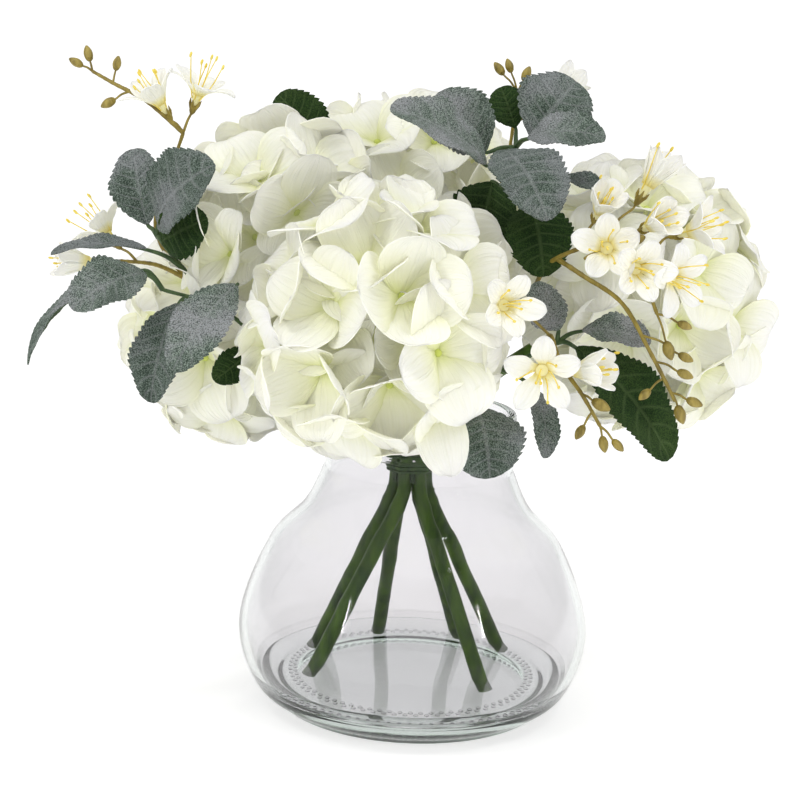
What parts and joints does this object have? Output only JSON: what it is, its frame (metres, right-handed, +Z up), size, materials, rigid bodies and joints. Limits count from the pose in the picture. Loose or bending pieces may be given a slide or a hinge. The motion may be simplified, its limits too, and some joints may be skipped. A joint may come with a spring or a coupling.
{
  "type": "floral table centerpiece",
  "caption": "Round arrangement of white hydrangea heads, small white blossom sprays and felted grey-green leaves, its stems bound and set in clear water in a squat bulb-shaped glass vase.",
  "frame": {"origin": "centre of the vase's flat base, on the surface it stands on", "axes": "+Z up, front of the arrangement at -Y, +X to the viewer's right"},
  "size_m": [0.274, 0.2271, 0.258],
  "materials": {
    "vase_glass": "clear gloss",
    "clear_water": "clear gloss",
    "stem_tape": "satin",
    "green_stem": "satin",
    "white_petals": "matte",
    "grey_leaves": "felted",
    "blossom_spray": "matte"
  },
  "bodies": {
    "root": {"vase": "vase_glass", "water": "clear_water", "stem_tie": "stem_tape", "stem_front_head": "green_stem", "stem_upper_left_head": "green_stem", "stem_left_head": "green_stem", "stem_back_head": "green_stem", "stem_right_head": "green_stem", "stem_right_spray": "green_stem", "hydrangea_front": "white_petals", "hydrangea_upper_left": "white_petals", "hydrangea_left": "white_petals", "hydrangea_back": "white_petals", "hydrangea_right": "white_petals", "leafy_stem_left": "grey_leaves", "leafy_stem_top_left": "grey_leaves", "leafy_stem_top": "grey_leaves", "leafy_stem_right": "grey_leaves", "leafy_stem_back_right": "grey_leaves", "leafy_stem_back_left": "grey_leaves", "spray_right": "blossom_spray", "spray_front": "blossom_spray", "spray_left": "blossom_spray", "spray_top": "blossom_spray", "spray_back": "blossom_spray"}
  },
  "joints": []
}
